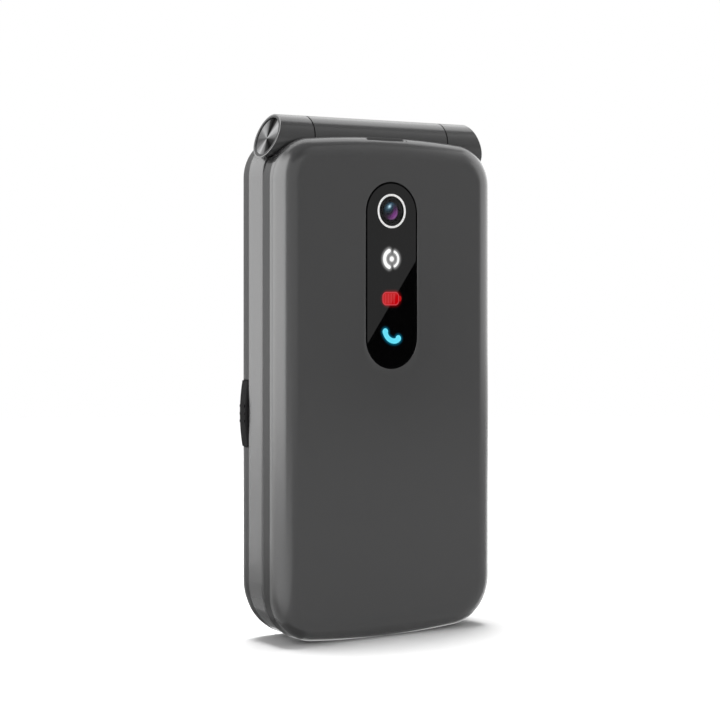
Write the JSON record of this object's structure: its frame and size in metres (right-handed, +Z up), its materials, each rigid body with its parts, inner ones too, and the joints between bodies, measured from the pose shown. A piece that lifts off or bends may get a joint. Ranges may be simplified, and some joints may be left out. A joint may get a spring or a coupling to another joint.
{
  "type": "flip phone",
  "caption": "Closed dark grey flip phone with a barrel hinge, a camera window with lit signs in the lid, and a keypad inside.",
  "frame": {"origin": "under the middle of the closed phone, on the surface that it stands on", "axes": "+X across the width, -Y out of the lid, +Y out of the back, +Z up towards the hinge"},
  "size_m": [0.0549, 0.0169, 0.1075],
  "materials": {
    "battery": "wrapped label",
    "battery_light": "lit from behind",
    "black_plastic": "fine grain",
    "board": "solder mask",
    "call_light": "lit from behind",
    "case": "glossy",
    "display_glass": "polished",
    "end_cap": "spun",
    "flex": "polyimide film",
    "keypad_panel": "glossy",
    "keys": "satin, printed",
    "lens": "polished",
    "magnet": "plated",
    "ring": "satin",
    "rubber": "matte",
    "steel": "brushed",
    "torch_light": "lit from behind",
    "window": "polished"
  },
  "bodies": {
    "base": {"antenna": "flex", "base_back_shell": "case", "base_flex": "flex", "base_front_shell": "case", "base_screws": "steel", "battery": "battery", "charging_port": "steel", "dome_sheet": "steel", "end_caps": "end_cap", "headphone_jack": "black_plastic", "hinge_head": "steel", "keypad_panel": "keypad_panel", "loudspeaker": "black_plastic", "main_board": "board", "pivot_pin": "steel", "screw_plugs": "rubber", "sim_holder": "steel", "vibration_motor": "steel"},
    "lid": {"lid_cover": "case", "lid_frame": "case", "camera_window": "window", "torch_light": "torch_light", "battery_light": "battery_light", "call_light": "call_light", "camera_ring": "ring", "camera_lens": "lens", "camera_module": "black_plastic", "lid_board": "board", "display_module": "black_plastic", "display_glass": "display_glass", "earpiece": "steel", "lid_magnet": "magnet", "lid_screws": "steel", "lid_bumpers": "rubber", "hinge_can": "steel", "lid_flex": "flex"},
    "battery_cover": {"battery_cover": "case"},
    "volume_rocker": {"volume_rocker": "black_plastic"},
    "motor_weight": {"motor_weight": "steel"},
    "key_0": {"key_0": "keys"},
    "key_1": {"key_1": "keys"},
    "key_2": {"key_2": "keys"},
    "key_3": {"key_3": "keys"},
    "key_4": {"key_4": "keys"},
    "key_5": {"key_5": "keys"},
    "key_6": {"key_6": "keys"},
    "key_7": {"key_7": "keys"},
    "key_8": {"key_8": "keys"},
    "key_9": {"key_9": "keys"},
    "key_call": {"key_call": "keys"},
    "key_down": {"key_down": "keys"},
    "key_end": {"key_end": "keys"},
    "key_hash": {"key_hash": "keys"},
    "key_left": {"key_left": "keys"},
    "key_right": {"key_right": "keys"},
    "key_select": {"key_select": "keys"},
    "key_soft_left": {"key_soft_left": "keys"},
    "key_soft_right": {"key_soft_right": "keys"},
    "key_star": {"key_star": "keys"},
    "key_up": {"key_up": "keys"}
  },
  "joints": [
    {"name": "lid_hinge", "type": "hinge", "parent": "base", "child": "lid", "pos_m": [0, -0.0007, 0.10305], "axis": [-1, 0, 0], "range_deg": [0, 160]},
    {"name": "battery_cover_lift", "type": "slide", "parent": "base", "child": "battery_cover", "axis": [0, 1, 0], "range_m": [0, 0.012]},
    {"name": "volume_rock", "type": "hinge", "parent": "base", "child": "volume_rocker", "pos_m": [-0.0244, 0.0055, 0.0465], "axis": [0, 1, 0], "range_deg": [-2, 2], "stiffness_Nm_per_rad": 0.05},
    {"name": "weight_spin", "type": "hinge", "parent": "base", "child": "motor_weight", "pos_m": [-0.0206, 0.0051, 0.088], "axis": [1, 0, 0], "continuous": true},
    {"name": "key_0_press", "type": "slide", "parent": "base", "child": "key_0", "axis": [0, 1, 0], "range_m": [0, 0.0003], "stiffness_N_per_m": 500},
    {"name": "key_1_press", "type": "slide", "parent": "base", "child": "key_1", "axis": [0, 1, 0], "range_m": [0, 0.0003], "stiffness_N_per_m": 500},
    {"name": "key_2_press", "type": "slide", "parent": "base", "child": "key_2", "axis": [0, 1, 0], "range_m": [0, 0.0003], "stiffness_N_per_m": 500},
    {"name": "key_3_press", "type": "slide", "parent": "base", "child": "key_3", "axis": [0, 1, 0], "range_m": [0, 0.0003], "stiffness_N_per_m": 500},
    {"name": "key_4_press", "type": "slide", "parent": "base", "child": "key_4", "axis": [0, 1, 0], "range_m": [0, 0.0003], "stiffness_N_per_m": 500},
    {"name": "key_5_press", "type": "slide", "parent": "base", "child": "key_5", "axis": [0, 1, 0], "range_m": [0, 0.0003], "stiffness_N_per_m": 500},
    {"name": "key_6_press", "type": "slide", "parent": "base", "child": "key_6", "axis": [0, 1, 0], "range_m": [0, 0.0003], "stiffness_N_per_m": 500},
    {"name": "key_7_press", "type": "slide", "parent": "base", "child": "key_7", "axis": [0, 1, 0], "range_m": [0, 0.0003], "stiffness_N_per_m": 500},
    {"name": "key_8_press", "type": "slide", "parent": "base", "child": "key_8", "axis": [0, 1, 0], "range_m": [0, 0.0003], "stiffness_N_per_m": 500},
    {"name": "key_9_press", "type": "slide", "parent": "base", "child": "key_9", "axis": [0, 1, 0], "range_m": [0, 0.0003], "stiffness_N_per_m": 500},
    {"name": "key_call_press", "type": "slide", "parent": "base", "child": "key_call", "axis": [0, 1, 0], "range_m": [0, 0.0003], "stiffness_N_per_m": 500},
    {"name": "key_down_press", "type": "slide", "parent": "base", "child": "key_down", "axis": [0, 1, 0], "range_m": [0, 0.0003], "stiffness_N_per_m": 500},
    {"name": "key_end_press", "type": "slide", "parent": "base", "child": "key_end", "axis": [0, 1, 0], "range_m": [0, 0.0003], "stiffness_N_per_m": 500},
    {"name": "key_hash_press", "type": "slide", "parent": "base", "child": "key_hash", "axis": [0, 1, 0], "range_m": [0, 0.0003], "stiffness_N_per_m": 500},
    {"name": "key_left_press", "type": "slide", "parent": "base", "child": "key_left", "axis": [0, 1, 0], "range_m": [0, 0.0003], "stiffness_N_per_m": 500},
    {"name": "key_right_press", "type": "slide", "parent": "base", "child": "key_right", "axis": [0, 1, 0], "range_m": [0, 0.0003], "stiffness_N_per_m": 500},
    {"name": "key_select_press", "type": "slide", "parent": "base", "child": "key_select", "axis": [0, 1, 0], "range_m": [0, 0.0003], "stiffness_N_per_m": 500},
    {"name": "key_soft_left_press", "type": "slide", "parent": "base", "child": "key_soft_left", "axis": [0, 1, 0], "range_m": [0, 0.0003], "stiffness_N_per_m": 500},
    {"name": "key_soft_right_press", "type": "slide", "parent": "base", "child": "key_soft_right", "axis": [0, 1, 0], "range_m": [0, 0.0003], "stiffness_N_per_m": 500},
    {"name": "key_star_press", "type": "slide", "parent": "base", "child": "key_star", "axis": [0, 1, 0], "range_m": [0, 0.0003], "stiffness_N_per_m": 500},
    {"name": "key_up_press", "type": "slide", "parent": "base", "child": "key_up", "axis": [0, 1, 0], "range_m": [0, 0.0003], "stiffness_N_per_m": 500}
  ]
}
